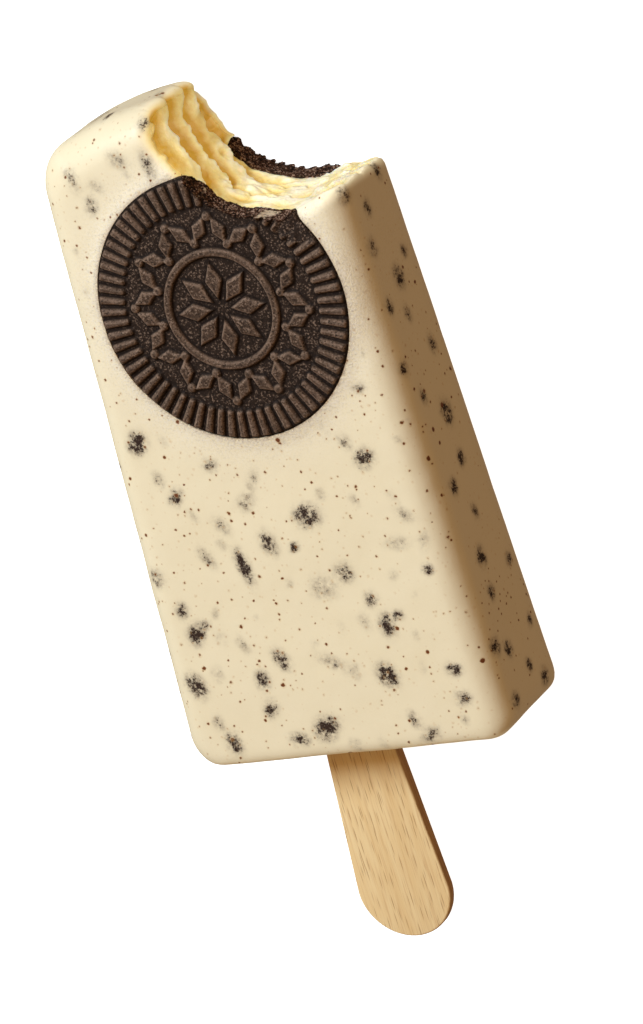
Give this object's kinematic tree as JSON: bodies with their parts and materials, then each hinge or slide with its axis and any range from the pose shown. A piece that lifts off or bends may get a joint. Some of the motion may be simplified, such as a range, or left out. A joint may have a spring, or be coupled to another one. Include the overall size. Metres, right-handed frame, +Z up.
{
  "type": "ice cream bar",
  "caption": "Bitten ice cream bar on a flat wooden stick: speckled pale coat over pale yellow ice cream, a dark embossed wafer in each face, lying on its back.",
  "frame": {"origin": "centre of the bounding box at the floor, under the bar lying on its back", "axes": "+Z up out of the front face, +Y from the stick towards the bitten tip, +X across the bar towards the bitten side"},
  "size_m": [0.0606, 0.1512, 0.0236],
  "materials": {
    "coat": "smooth cream coating with dark cookie crumbs, slightly frosted",
    "ice_cream": "pale yellow ice cream, moist, scraped by teeth",
    "wafer": "dry dark cocoa wafer, matt and grainy",
    "stick": "plain light beech, smooth, unvarnished"
  },
  "bodies": {
    "root": {"coat": "coat", "ice_cream": "ice_cream", "wafer_front": "wafer", "wafer_back": "wafer", "stick": "stick"}
  },
  "joints": []
}
